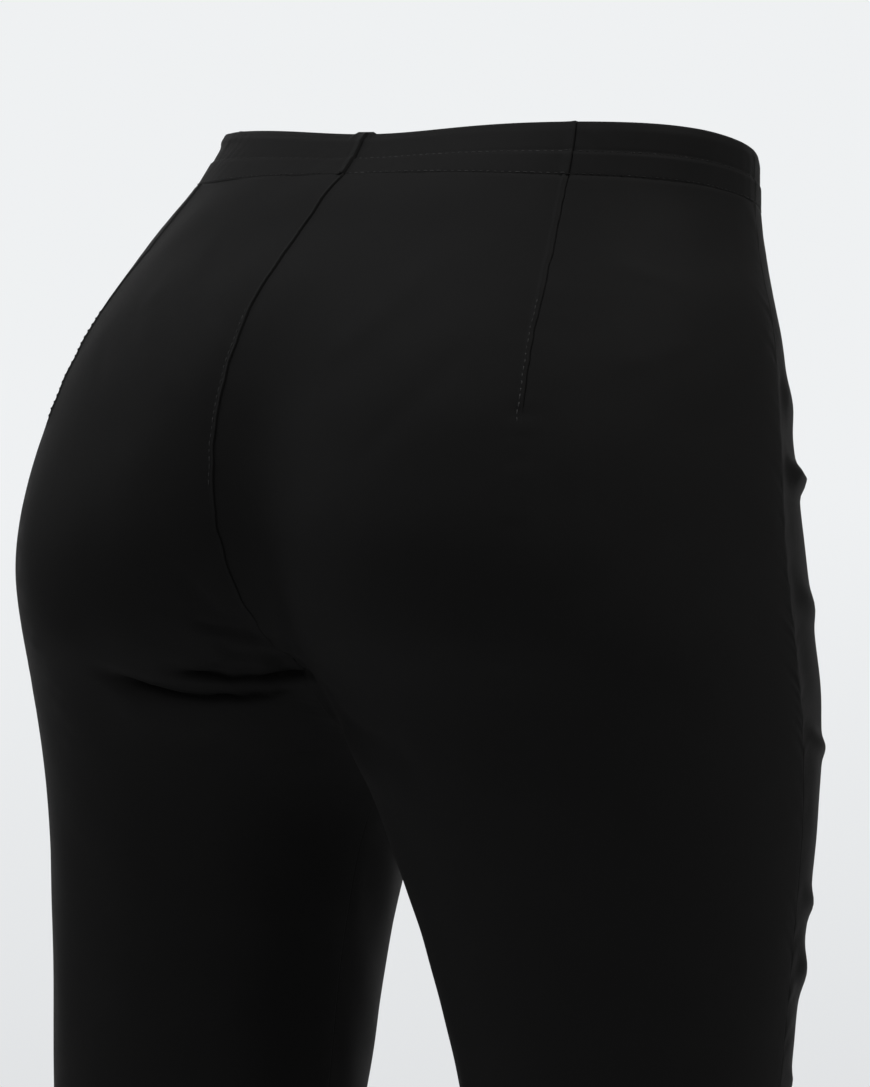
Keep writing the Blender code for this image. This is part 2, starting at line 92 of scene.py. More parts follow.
RIGHT_HALF = (
    (0.0, 0.0, 0.0, 0.1288, 0.125, 0.0735, 0.088),
    (0.025, -0.007, 0.002, 0.123, 0.124, 0.088, 0.09),
    (0.05, -0.018, 0.008, 0.118, 0.122, 0.097, 0.092),
    (0.075, -0.028, 0.014, 0.1165, 0.12, 0.109, 0.096),
    (0.13, -0.048, 0.026, 0.108, 0.11, 0.122, 0.106),
    (0.185, -0.064, 0.028, 0.0975, 0.105, 0.1265, 0.111),
    (0.21, -0.067, 0.026, 0.0965, 0.103, 0.121, 0.1115),
    (0.235, -0.07, 0.022, 0.094, 0.099, 0.108, 0.111),
    (0.28, -0.075, 0.018, 0.089, 0.087, 0.096, 0.103),
    (0.34, -0.077, 0.014, 0.082, 0.068, 0.0825, 0.087),
    (0.42, -0.083, 0.012, 0.0692, 0.057, 0.069, 0.072),
    (0.53, -0.089, 0.018, 0.06, 0.056, 0.06, 0.062),
    (0.62, -0.093, 0.028, 0.056, 0.056, 0.06, 0.056),
    (0.76, -0.097, 0.038, 0.055, 0.055, 0.056, 0.054),
)

# What both share: the centre seams' plane, how square the ovals are, how softly they join.
SHARED_COLUMNS = ("drop", "seam_x", "square", "join")
SHARED = (
    (0.0, 0.002, 2.35, 0.0),
    (0.025, 0.001, 2.35, 0.005),
    (0.05, 0.007, 2.35, 0.01),
    (0.075, 0.014, 2.3, 0.02),
    (0.13, 0.022, 2.25, 0.035),
    (0.185, 0.02, 2.2, 0.04),
    (0.235, 0.0165, 2.15, 0.03),
    (0.262, 0.022, 2.12, 0.022),
    (0.34, 0.024, 2.1, 0.01),
    (0.42, 0.024, 2.05, 0.002),
    (0.53, 0.024, 2.0, 0.002),
    (0.76, 0.0235, 2.0, 0.002),
)

# Bearings of the side seam and the back dart, in degrees. Past its point the dart's line is plain cloth.
LINE_COLUMNS = ("drop", "side_seam", "dart")
LINES = (
    (0.0, -13.0, 30.5),
    (0.02, -14.0, 34.5),
    (0.05, -15.0, 41.0),
    (0.09, -17.0, 49.3),
    (0.125, -18.0, 54.3),
    (0.18, -18.0, 62.0),
    (0.26, -19.0, 74.0),
    (0.38, -17.0, 82.0),
    (0.76, -12.0, 84.0),
)
DART_LENGTH = 0.125
DART_POINT = 0.008  # over which it runs out
DART_SHARE = 0.37  # of a back's width, from the side seam to the dart

# Folds: soft ridges (rise above 0) and troughs (below 0). A row's lap slides the cloth down over it.
FOLD_COLUMNS = ("half", "from_bearing", "from_drop", "to_bearing", "to_drop", "sag", "width", "rise", "lap")
FOLDS = (
    # under the seat of the standing leg
    (1, 86, 0.2255, 138, 0.2325, 0.0083, 0.0036, -0.0028),
    (1, 105, 0.2247, 144, 0.2255, 0.0054, 0.0038, -0.0026),
    (1, 88, 0.236, 136, 0.247, 0.008, 0.007, 0.0008),
    (1, 100, 0.216, 140, 0.2185, 0.005, 0.005, 0.0005),
    (1, 112, 0.197, 130, 0.212, 0.0, 0.006, -0.001),
    # under the seat of the eased leg, softer, and the ridge that runs down inside its thigh
    (-1, 96, 0.262, 132, 0.24, 0.004, 0.011, -0.0012),
    (-1, 160, 0.246, 96, 0.279, 0.0, 0.011, 0.0018),
    # across the front of the eased thigh
    (-1, -20, 0.108, -50, 0.122, 0.0, 0.01, 0.0022),
    (-1, -21, 0.141, -66, 0.152, 0.002, 0.0046, 0.004),
    (-1, -22, 0.19, -84, 0.214, 0.003, 0.006, 0.0014),
    (-1, -21, 0.25, -92, 0.268, 0.005, 0.004, 0.0016),
    (-1, -22, 0.318, -86, 0.334, 0.004, 0.005, 0.0018),
    (-1, -22, 0.347, -72, 0.359, 0.003, 0.008, 0.0024),
    (-1, -20, 0.394, -95, 0.408, 0.004, 0.0045, 0.0014),
    # across the front of the standing thigh
    (1, -22, 0.15, -60, 0.164, 0.002, 0.008, 0.0024),
    (1, -24, 0.212, -80, 0.23, 0.004, 0.0095, 0.002),
    (1, -22, 0.286, -94, 0.3, 0.005, 0.01, 0.0024),
    (1, -24, 0.352, -70, 0.366, 0.003, 0.009, 0.0016),
    # where each thigh meets the body at the front
    (1, -158, 0.226, -66, 0.158, 0.008, 0.009, -0.0028),
    (1, -160, 0.242, -92, 0.21, 0.006, 0.008, -0.0018),
    (-1, -158, 0.22, -70, 0.166, 0.006, 0.009, -0.0022),
    (-1, -160, 0.238, -88, 0.216, 0.006, 0.0085, 0.002),
    # at the back and the front of the knees
    (1, 40, 0.498, 150, 0.506, 0.006, 0.014, -0.0026),
    (1, 50, 0.532, 140, 0.524, -0.004, 0.014, 0.0022),
    (-1, 36, 0.508, 148, 0.496, 0.006, 0.014, -0.003),
    (-1, 46, 0.538, 138, 0.53, -0.004, 0.014, 0.0024),
    (1, -140, 0.47, -50, 0.462, 0.006, 0.015, 0.0018),
    (-1, -138, 0.462, -48, 0.474, 0.006, 0.015, 0.0022),
)
FOLD_END = 0.22  # share of a fold's length in which each end fades
LAP_ABOVE = 2.0  # its reach above the fold, in widths, and below it
LAP_BELOW = 0.5

# Creases finer than the solids carry, in the same columns.
CREASES = (
    # the sharp lines inside the two folds under the seat, and the cloth that rolls under above them
    (1, 90, 0.2278, 139, 0.2342, 0.0082, 0.0012, -0.003, 0.0022),
    (1, 107, 0.2266, 143, 0.2282, 0.0052, 0.0014, -0.0038, 0.0024),
    (1, 112, 0.2245, 140, 0.227, 0.003, 0.0066, -0.0026),
    # short ones above them, and faint slanting ones that start at the centre seam
    (1, 119, 0.219, 139, 0.2235, 0.0006, 0.0034, -0.003, 0.0006),
    (1, 112, 0.206, 133, 0.2145, 0.0006, 0.0015, -0.0023, 0.0008),
    (1, 104, 0.2, 126, 0.206, 0.0004, 0.0016, -0.0005),
    (1, 107, 0.18, 122, 0.208, 0.0, 0.0022, -0.0006),
    # the eased leg's, softer
    (-1, 104, 0.254, 128, 0.244, 0.003, 0.004, -0.0006),
    (-1, 118, 0.236, 134, 0.231, 0.001, 0.0035, -0.0004),
    # faint strain lines from the centre back up to the waist
    (1, 66, 0.062, 100, 0.118, 0.003, 0.005, 0.0005),
    (1, 62, 0.082, 96, 0.142, 0.003, 0.0045, -0.0004),
    (1, 74, 0.048, 102, 0.09, 0.002, 0.004, -0.0004),
    (-1, 64, 0.056, 98, 0.108, 0.003, 0.005, 0.0004),
    (-1, 60, 0.09, 92, 0.148, 0.003, 0.0045, -0.0003),
    (-1, 14, 0.069, 32, 0.06, 0.0006, 0.0018, 0.0004),
    (-1, 12, 0.09, 36, 0.104, 0.001, 0.004, 0.0003),
)
CREASE_WANDER = 0.25  # of a crease from its line, as a share of its width
CREASE_CHANGE = 0.25  # of its height along it
WANDER_WAVES = (5.0, 30.0)  # shortest and longest, in degrees of bearing
CHANGE_WAVES = (4.0, 25.0)
RUN_OUT = 0.006  # in which a fold that meets the centre back runs out on the eased side

# Seams: a stitched groove, with the pressed allowance as a low ridge on one side.
GROOVE_WIDTH = 0.00023
CENTRE_DEPTH = 0.00052  # of the centre seams' and the darts' grooves at the waist
CENTRE_EASING = 0.74  # share of it lost over EASING_DROPS, where the cloth is stretched
EASING_DROPS = (0.060, 0.100)
PRESSED_DEPTH = 0.00010  # of the side seams and inseams, pressed open and flat
SINK_DROPS = (0.175, 0.225)  # between which the centre seam sinks out of sight
ALLOWANCE_WIDTH = 0.0024
ALLOWANCE_RISE = 0.00080
ALLOWANCE_EDGE = 0.0005  # over which it rises at the seam
DART_FOLD = 0.0021  # width of the darts' folded cloth, highest at its far edge
DART_RISE = 0.00075
DART_FOLD_EDGE = 0.0006
PUCKER_REACH = 0.011  # how far puckers run into the cloth
PUCKER_START = 0.002  # no puckers at the stitching itself
PUCKER_SLANT = 0.6
PUCKER_WAVES = (0.006, 0.018)  # shortest and longest, as for all waves below
DART_PUCKER_WAVES = (0.005, 0.014)
SEAM_PUCKER = 0.00012
SIDE_PUCKER = 0.00030
SEAM_WANDER = 0.00060  # sideways, of the centre seams from their curve
SEAM_WAVES = (0.010, 0.045)
SEAM_WANDER_REACH = 0.006  # into the cloth beside it
SEAM_WANDER_END = 0.040  # above the crotch, where it fades out
DART_WANDER = 0.00045
DART_WAVES = (0.008, 0.030)
DART_WANDER_REACH = 0.005
DART_WANDER_START = 0.010  # below the casing, over which it comes in
SLACK = 0.00030  # the cloth's own soft unevenness
SLACK_WAVES = (0.030, 0.110)
SLACK_START = 0.012  # seams hold it flat this far
FLAT_DEPTH = 0.0014  # of the flat strip of the right front, beside its side seam
FLAT_WIDTH = 0.050
FLAT_DROPS = (0.080, 0.115, 0.235, 0.275)  # it comes in over the first two and goes over the last
FLAT_PEAK = 4 / 27  # of t (1 - t)^2, its section

# The casing's two soft channels: from a drop, to a drop, and how far each stands out.
CHANNELS = ((0.0, CASING_ROW, 0.00034), (CASING_ROW, CASING_DEPTH, 0.00052))
CHANNEL_LIP = 0.0011  # over which a channel rises below a stitched row
CHANNEL_FALL = 1.6  # how full it is: 1 falls away evenly
ROW_SINK = 0.00020  # depth of its stitched rows
ROW_WIDTH = 0.0006
LAST_ROW_WIDTH = 0.0008
HEM_ROW_WIDTH = 0.0010
HEM_STEP = 0.0012  # over which the hem's cloth doubles
TOP_SINK = 0.00020  # of the panels' top edge below the casing, over TOP_CURVE
TOP_CURVE = 0.0016
EDGE_LEAN = 0.0016  # by which its top edge leans in, over EDGE_LEAN_DEPTH
EDGE_LEAN_DEPTH = 0.0044
EDGE_UPRIGHT = 0.6  # share of it that is missing on the wearer's right
UPRIGHT_REACH = 0.08  # from the centre
GATHER = 0.00007  # height of the elastic's small gathers
GATHER_WAVES = (0.005, 0.016)
GATHER_REACH = 0.004  # from the middle row, where they are twice as high
CASING_ALLOWANCE = 0.0052  # width of the folded allowances within it
CASING_RISE = 0.0013  # by which they raise it
CASING_GROOVE = 0.00040  # depth of its seams
CENTRE_BUMP = 0.0009  # rise of its top edge over the centre seams' allowances
CENTRE_BUMP_REACH = {1: 0.0095, -1: 0.0028}
CENTRE_BUMP_END = 0.0022  # over which it ends
BUMP_DEPTH = 0.003
DART_BUMP = 0.0002
DART_IN_CASING = {1: 0.15, -1: 0.6}  # share of CASING_RISE over each half's dart
CASING_PUCKER = 0.00012
CASING_RADIUS = 0.105  # of the curve that it follows at the back

# Stitches.
STITCH_SPACING = 0.0031
STITCH_LENGTH = 0.0021
THREAD_RADIUS = 0.00018
EDGE_STITCH = 0.0019  # distance of edge stitching from the darts
SEAM_STITCH = 0.0023  # and from the centre seams
SEAM_STITCHES = (0.084, 0.152)  # drops between which the stretched cloth lets it show
DART_STITCHES = (0.074, 0.1255)
THREAD_SINK = -1.3  # height of a stitch's ends and of its bow's control point, in thread radii
THREAD_CROWN = 2.6
SMALLEST_STITCH = (0.55, 0.85, 0.65)
LARGEST_STITCH = (1.10, 1.20, 1.50)

# Mesh fineness: rows as (down to this drop, this far apart), and columns across each panel.
ROWS_ABOVE_CROTCH = ((0.0265, 0.0005), (0.200, 0.0028), (LENGTH, 0.0008))
ROWS_BELOW_CROTCH = ((0.420, 0.0027), (LENGTH - 0.024, 0.0036), (LENGTH, 0.0011))
FRONT_COLUMNS = 96
SIDE_TO_DART_COLUMNS = 44
DART_TO_CENTRE_COLUMNS = 64
EDGE_CLOSENESS = 0.95  # how much closer columns stand at seams
CASING_SEGMENT = 0.0012
HEM_ROUNDING = 0.0006  # of the turned edge
REACH = 0.35  # further from an axis than any surface
STEP = 0.0002  # for slopes

# Seeds of the random draws. Each piece adds its own small number.
PANEL_SEED, SIDE_SEED, CENTRE_SEED, DART_SEED = 10, 20, 40, 60
SEAM_WANDER_SEED, DART_WANDER_SEED, CASING_SEED = 70, 80, 100
CREASE_SEED, CREASE_CHANGE_SEED = 200, 300


# ---------------- the form
def columns(names, rows, prefix=""):
    """A table's columns by name, each with its slopes, for reading as a smooth curve."""
    values = dict(zip(names, np.array(rows, float).T))
    drop = values.pop("drop")
    return {prefix + name: (drop, column, np.gradient(column, drop)) for name, column in values.items()}


CURVES = {
    **columns(HALF_COLUMNS, LEFT_HALF, "left_"),
    **columns(HALF_COLUMNS, RIGHT_HALF, "right_"),
    **columns(SHARED_COLUMNS, SHARED),
    **columns(LINE_COLUMNS, LINES),
}


def curve(name, drop):
    """Read one column of the tables at any drop, on a cubic through its rows."""
    at, value, slope = CURVES[name]
    drop = np.clip(drop, at[0], at[-1])
    i = np.clip(np.searchsorted(at, drop, side="right") - 1, 0, len(at) - 2)
    h = at[i + 1] - at[i]
    t = (drop - at[i]) / h
    return (value[i] * (1 + 2 * t) * (1 - t) ** 2 + slope[i] * h * t * (1 - t) ** 2
            + value[i + 1] * t * t * (3 - 2 * t) + slope[i + 1] * h * t * t * (t - 1))


def ease(t):
    t = np.clip(t, 0.0, 1.0)
    return t * t * (3.0 - 2.0 * t)


def between(value, start, end):
    """Smooth rise from 0 at start to 1 at end."""
    return ease((value - start) / (end - start))


def bell(distance, width):
    return np.exp(-(distance / width) ** 2)


def half_size(half, name, drop):
    """One column of a half's own table at any drop."""
    return curve(("left_" if half > 0 else "right_") + name, drop)


def axis(half, drop):
    return half_size(half, "x", drop), half_size(half, "y", drop)


class Form:
    """The garment's form at fixed drops, ready to be asked at many places."""

    def __init__(self, drop):
        names = HALF_COLUMNS[1:]
        self.sizes = {half: {name: half_size(half, name, drop) for name in names} for half in (1, -1)}
        self.power = curve("square", drop)
        self.soft = np.maximum(curve("join", drop), 1e-5)

    def oval(self, half, x, y):
        """Signed distance (negative inside) along the ray from a half's axis to its oval."""
        size = self.sizes[half]
        out, back = half * (x - size["x"]), y - size["y"]
        wide = np.where(out > 0, size["outer"], size["inner"])
        deep = np.where(back > 0, size["back"], size["front"])
        power = self.power
        scale = ((np.abs(out) / wide) ** power + (np.abs(back) / deep) ** power) ** (1.0 / power)
        radius = np.hypot(out, back)
        return radius - radius / np.maximum(scale, 1e-6)

    def __call__(self, x, y):
        """The two halves, smoothly joined."""
        left, right = self.oval(1, x, y), self.oval(-1, x, y)
        near = np.maximum(self.soft - np.abs(left - right), 0.0) / self.soft
        return np.minimum(left, right) - near ** 3 * self.soft / 6.0


def reach(x, y, along_x, along_y, drop, far):
    """Distance from a point inside to the form, along a level direction."""
    form = Form(drop)
    low = np.zeros_like(drop)
    high = np.zeros_like(drop) + far
    for _ in range(30):
        middle = (low + high) / 2
        inside = form(x + middle * along_x, y + middle * along_y) < 0
        low, high = np.where(inside, middle, low), np.where(inside, high, middle)
    return (low + high) / 2


def waist_line(x, y, drop):
    """Height of the cloth's level lines: the waist's own, faded out down the seat, and the seat's lift."""
    line = WAIST_LIFT + WAIST_TILT * x - WAIST_BOW * (y - WAIST_PEAK) ** 2
    line = line - WAIST_DIP * bell(x, WAIST_DIP_WIDTH)
    over_seat = bell(x, SEAT_LIFT_WIDTH) * ease(y / SEAT_LIFT_WIDTH)
    lasting = 1.0 - between(drop, SEAT_LIFT_FULL, SEAT_LIFT_END)
    lift = SEAT_LIFT * over_seat * ease(drop / SEAT_LIFT_FULL) * lasting
    return line * (1.0 - ease(drop / WAIST_FADE)) + lift


def place(x, y, drop):
    return np.stack([x, y, waist_line(x, y, drop) - drop], axis=-1)


def slopes(function, x, y, drop):
    """How fast a function of x, y and drop changes along each of them."""
    steps = np.eye(3) * STEP
    ahead = [function(x + dx, y + dy, drop + down) for dx, dy, down in steps]
    behind = [function(x - dx, y - dy, drop - down) for dx, dy, down in steps]
    return [(after - before) / (2 * STEP) for after, before in zip(ahead, behind)]


def outward(x, y, drop):
    """Unit normal of the form in space."""
    by_x, by_y, by_drop = slopes(lambda x, y, drop: Form(drop)(x, y), x, y, drop)
    rise_x, rise_y, fall = slopes(waist_line, x, y, drop)
    upward = by_drop / (-1.0 + fall)
    normal = np.stack([by_x - upward * rise_x, by_y - upward * rise_y, upward], axis=-1)
    return normal / np.linalg.norm(normal, axis=-1, keepdims=True)


def squared(normal, sideways):
    """Normals with the named sideways parts taken out, so that both edges of a centre seam face squarely."""
    normal[sideways] = 0.0
    return normal / np.linalg.norm(normal, axis=-1, keepdims=True)


def find_crotch():
    """Drop and depth (y) of the point where the centre back and centre front seams meet."""
    depth = np.linspace(-0.05, 0.10, 301)
    low, high = 0.20, 0.34
    for _ in range(40):
        middle = (low + high) / 2
        drop = np.full_like(depth, middle)
        values = Form(drop)(curve("seam_x", drop), depth)
        if values.min() < 0:
            low, meeting = middle, depth[values.argmin()]
        else:
            high = middle
    return low, meeting


CROTCH_DROP, CROTCH_Y = find_crotch()


def centre_seam(face, drop):
    """x and y of the centre back (face 1) or centre front (face -1) seam."""
    x = curve("seam_x", drop)
    y = np.full_like(drop, CROTCH_Y)
    return x, y + face * reach(x, y, 0.0, face, drop, REACH)


def inner_bearing(half, face, drop):
    """Bearing of a panel's inner edge: the centre seam down to the crotch, then the inseam."""
    above = np.minimum(drop, CROTCH_DROP)
    centre_x, centre_y = axis(half, above)
    x, y = centre_seam(face, above)
    seam = np.degrees(np.arctan2(y - centre_y, half * (x - centre_x)))
    seam = np.where(face * seam < 0, seam + face * 360.0, seam)
    return seam + (face * 180.0 - seam) * ease((drop - CROTCH_DROP) / 0.06)


def bearings(half, face, drop, share, dart_share):
    """Bearings at shares of the way from side seam to inner edge. A back's dart has its own share."""
    start, end = curve("side_seam", drop), inner_bearing(half, face, drop)
    if face < 0:
        return start + (end - start) * share
    dart = curve("dart", drop)
    before = start + (dart - start) * np.minimum(share / dart_share, 1.0)
    return before + (end - dart) * np.clip((share - dart_share) / (1 - dart_share), 0.0, 1.0)


def on_form(half, bearing, drop):
    """x and y of the form at a bearing and drop. A ray that points at the other leg stops at the centre."""
    angle = np.radians(bearing)
    centre_x, centre_y = axis(half, drop)
    along_x, along_y = half * np.cos(angle), np.sin(angle)
    room = half * (centre_x - curve("seam_x", drop))
    inward = -half * along_x
    far = np.where(inward > 1e-6, np.clip(room / np.maximum(inward, 1e-6), 0.0, REACH), REACH)
    length = reach(centre_x, centre_y, along_x, along_y, drop, far)
    return centre_x + length * along_x, centre_y + length * along_y


def fold_relief(half, bearing, drop):
    """Height of the folds and creases at points of one half, and how far they slide the cloth down."""
    height, slide = np.zeros_like(drop), np.zeros_like(drop)
    for number, row in enumerate(FOLDS + CREASES):
        fold = dict(zip(FOLD_COLUMNS, row))
        if fold["half"] != half:
            continue
        t = (bearing - fold["from_bearing"]) / (fold["to_bearing"] - fold["from_bearing"])
        crest = fold["from_drop"] + (fold["to_drop"] - fold["from_drop"]) * t + 4 * fold["sag"] * t * (1 - t)
        ends = ease(t / FOLD_END) * ease((1 - t) / FOLD_END)
        if number >= len(FOLDS):
            wander = uneven(CREASE_SEED + number, *WANDER_WAVES, bearing)
            crest = crest + CREASE_WANDER * fold["width"] * wander
            ends = ends * (1.0 + CREASE_CHANGE * uneven(CREASE_CHANGE_SEED + number, *CHANGE_WAVES, bearing))
        below = drop - crest
        height += fold["rise"] * ends * bell(below, fold["width"])
        lap_width = fold["width"] * np.where(below < 0, LAP_ABOVE, LAP_BELOW)
        slide += fold.get("lap", 0.0) * ends * bell(below, lap_width)
    return height, slide


def uneven(seed, shortest, longest, *place_in_cloth):
    """Smooth unevenness from -1 to 1 along one or two directions, with waves between two lengths."""
    draw = np.random.default_rng(seed)
    total = 0.0
    waves = 9
    for _ in range(waves):
        length = shortest * (longest / shortest) ** draw.random()
        angle = draw.random() * 2 * math.pi
        phase = draw.random() * 2 * math.pi
        along = place_in_cloth[0]
        if len(place_in_cloth) == 2:
            along = place_in_cloth[0] * math.cos(angle) + place_in_cloth[1] * math.sin(angle)
        total = total + np.sin(2 * math.pi * along / length + phase)
    return total / math.sqrt(2 * waves)


# ---------------- meshes
def add_object(name, data):
    """A new object in the scene."""
    new = bpy.data.objects.new(name, data)
    bpy.context.scene.collection.objects.link(new)
    return new


def mesh_object(name, points, faces, uv, material):
    """One smooth-shaded object at the origin, with its cloth coordinates in metres as a UV map."""
    mesh = bpy.data.meshes.new(name)
    mesh.from_pydata(points.tolist(), [], faces)
    mesh.shade_smooth()
    layer = mesh.uv_layers.new(name="cloth")
    corners = np.empty(len(mesh.loops), np.int32)
    mesh.loops.foreach_get("vertex_index", corners)
    layer.data.foreach_set("uv", uv[corners].astype(np.float32).ravel())
    mesh.materials.append(material)
    return add_object(name, mesh)


def tube_faces(rows, size, flip):
    """Faces between closed loops of points, one loop of size points for each row, with both ends capped."""
    faces = []
    for r in range(rows - 1):
        for k in range(size):
            a, b = r * size + k, r * size + (k + 1) % size
            faces.append((a, a + size, b + size, b))
    faces.append(tuple(range(size)))
    faces.append(tuple(reversed(range((rows - 1) * size, rows * size))))
    return [face[::-1] for face in faces] if flip else faces


def wall_faces(rows, across, flip):
    """Faces of a closed wall between two grids: outside points first, then inside points."""
    count = rows * across
    number = np.arange(count).reshape(rows, across)
    a, b = number[:-1, :-1].ravel(), number[:-1, 1:].ravel()
    d, e = number[1:, :-1].ravel(), number[1:, 1:].ravel()
    outer = np.stack([a, d, e, b], axis=1)
    inner = np.stack([a, b, e, d], axis=1) + count
    rim = np.concatenate([number[:, 0], number[-1, 1:], number[-2::-1, -1], number[0, -2:0:-1]])
    ahead = np.roll(rim, -1)
    edge = np.stack([ahead, rim, rim + count, ahead + count], axis=1)
    faces = np.concatenate([outer, inner, edge])
    if flip:
        faces = faces[:, ::-1]
    return faces.tolist()


def row_drops(start, end, pitches):
    """Drops of rows from start to end, each table row's pitch holding down to its own drop."""
    drops = [start]
    for down_to, pitch in pitches:
        stop = min(down_to, end)
        if stop <= drops[-1]:
            continue
        count = max(1, round((stop - drops[-1]) / pitch))
        drops += list(np.linspace(drops[-1], stop, count + 1)[1:])
    return np.array(drops)


def graded(count):
    """Fractions from 0 to 1 that stand closer together at both ends."""
    t = np.linspace(0.0, 1.0, count + 1)
    return t - EDGE_CLOSENESS * np.sin(2 * math.pi * t) / (2 * math.pi)


def lengths(points, direction):
    """Distance run along each row (direction 1) or column (direction 0) of a grid of points."""
    steps = np.linalg.norm(np.diff(points, axis=direction), axis=-1)
    start = np.zeros_like(steps[:, :1] if direction else steps[:1])
    return np.concatenate([start, np.cumsum(steps, axis=direction)], axis=direction)


def panel_rows(face):
    """For each row of a panel: its drop at the side seam and at its inner edge."""
    above = row_drops(CASING_DEPTH, CROTCH_DROP, ROWS_ABOVE_CROTCH)
    below = row_drops(CROTCH_DROP, LENGTH, ROWS_BELOW_CROTCH)[1:]
    # the centre seam runs level into the crotch, so its rows are spaced by their length along it
    share = np.linspace(0.0, 1.0, 1200)
    drop = CROTCH_DROP - (CROTCH_DROP - CASING_DEPTH) * (1.0 - share) ** 2
    x, y = centre_seam(face, drop)
    steps = np.linalg.norm(np.diff(place(x, y, drop), axis=0), axis=1)
    length = np.concatenate([[0.0], np.cumsum(steps)])
    fraction = (above - CASING_DEPTH) / (CROTCH_DROP - CASING_DEPTH)
    inner = np.interp(fraction * length[-1], length, drop)
    return np.concatenate([above, below]), np.concatenate([inner, below])


def seam_wander(face, drop, to_centre):
    """Small sideways wandering of a centre seam and the cloth beside it."""
    above = ease((CROTCH_DROP - drop) / SEAM_WANDER_END)
    waves = uneven(SEAM_WANDER_SEED + face, *SEAM_WAVES, drop)
    return SEAM_WANDER * above * waves * bell(to_centre, SEAM_WANDER_REACH)


class Panel:
    """One back or front as a fine grid: where each point lies, and how far it is from each seam."""

    def __init__(self, half, face):
        self.half, self.face = half, face
        side_drop, inner_drop = panel_rows(face)
        if face > 0:
            to_dart, from_dart = graded(SIDE_TO_DART_COLUMNS), graded(DART_TO_CENTRE_COLUMNS)[1:]
            fraction = np.concatenate([to_dart * DART_SHARE, DART_SHARE + from_dart * (1 - DART_SHARE)])
            self.dart_column = SIDE_TO_DART_COLUMNS
        else:
            fraction = graded(FRONT_COLUMNS)
            self.dart_column = None
        self.drop = side_drop[:, None] + (inner_drop - side_drop)[:, None] * fraction
        self.bearing = bearings(half, face, self.drop, fraction, DART_SHARE)
        x, y = on_form(half, self.bearing, self.drop)
        above = inner_drop <= CROTCH_DROP
        x[above, -1], y[above, -1] = centre_seam(face, inner_drop[above])
        centre_x, _ = centre_seam(face, np.minimum(inner_drop, CROTCH_DROP))
        x += seam_wander(face, self.drop, x - centre_x[:, None])
        if face > 0:
            dart_x = x[:, SIDE_TO_DART_COLUMNS:SIDE_TO_DART_COLUMNS + 1].copy()
            waves = uneven(DART_WANDER_SEED + half, *DART_WAVES, self.drop)
            waves *= ease((self.drop - CASING_DEPTH) / DART_WANDER_START)
            x += DART_WANDER * waves * bell(x - dart_x, DART_WANDER_REACH)
        self.base = place(x, y, self.drop)
        self.normal = squared(outward(x, y, self.drop), np.s_[above, -1, 0])
        self.across = lengths(self.base, 1)
        self.to_inner = self.across[:, -1:] - self.across
        self.down = lengths(self.base, 0)
        self.on_centre = above[:, None]
        self.outside = self.relief()

    def relief(self):
        """The cloth's outer side: the form with its folds, creases, seams and slack."""
        seed = PANEL_SEED + 2 * self.half + self.face
        height, slide = fold_relief(self.half, self.bearing, self.drop)
        free = ease(self.across / SLACK_START) * ease(self.to_inner / SLACK_START)
        height = height + SLACK * free * uneven(seed, *SLACK_WAVES, self.across, self.down)
        height += seam_relief(self.across, self.down, PRESSED_DEPTH, 0.0, SIDE_PUCKER, seed + SIDE_SEED)
        open_seam = 1.0 - between(self.drop, *SINK_DROPS)
        eased = 1.0 - CENTRE_EASING * between(self.drop, *EASING_DROPS)
        depth = PRESSED_DEPTH + (CENTRE_DEPTH * eased - PRESSED_DEPTH) * open_seam
        rise = ALLOWANCE_RISE * open_seam * (1.0 if self.half > 0 else 0.0)
        height += seam_relief(self.to_inner, self.down, depth, rise, SEAM_PUCKER, seed + CENTRE_SEED)
        if self.face > 0:
            height += self.dart_relief(seed + DART_SEED)
        elif self.half < 0:
            start, full, wane, end = FLAT_DROPS
            t = np.clip(self.across / FLAT_WIDTH, 0.0, 1.0)
            lasting = between(self.drop, start, full) * between(self.drop, end, wane)
            height -= FLAT_DEPTH / FLAT_PEAK * t * (1.0 - t) ** 2 * lasting
        if self.face > 0 and self.half < 0:
            met, _ = fold_relief(1, inner_bearing(1, 1, self.drop), self.drop)
            height += np.where(self.on_centre, met, 0.0) * bell(self.to_inner, RUN_OUT)
        height -= TOP_SINK * (1.0 - ease(self.down / TOP_CURVE))
        above_edge = LENGTH - self.drop
        row = ROW_SINK * bell(above_edge - HEM_ROW, HEM_ROW_WIDTH)
        height -= row + HEM_ROUNDING * bell(above_edge, HEM_ROUNDING)
        down_the_cloth = np.gradient(self.base, axis=0)
        down_the_cloth /= np.linalg.norm(down_the_cloth, axis=-1, keepdims=True)
        return self.base + self.normal * height[..., None] + down_the_cloth * slide[..., None]

    def dart_relief(self, seed):
        """The dart's stitched groove, with its folded cloth as a ridge towards the centre back."""
        beside = self.across - self.across[:, self.dart_column:self.dart_column + 1]
        strength = ease((DART_LENGTH - self.drop) / DART_POINT)
        within = 1.0 - ease((beside - DART_FOLD) / DART_FOLD_EDGE)
        ridge = DART_RISE * np.clip(beside / DART_FOLD, 0.0, 1.0) * within
        waves = uneven(seed, *DART_PUCKER_WAVES, self.down)
        pucker = SEAM_PUCKER * waves * np.exp(-np.abs(beside) / PUCKER_REACH)
        return strength * (ridge + pucker - CENTRE_DEPTH * bell(beside, GROOVE_WIDTH))

    def inside(self):
        """The cloth's inner side, thicker where the hem is turned up."""
        hem = ease((self.drop - (LENGTH - HEM_DEPTH)) / HEM_STEP)
        thickness = CLOTH + (HEM_LAYERS - CLOTH) * hem
        return self.outside - self.normal * thickness[..., None]

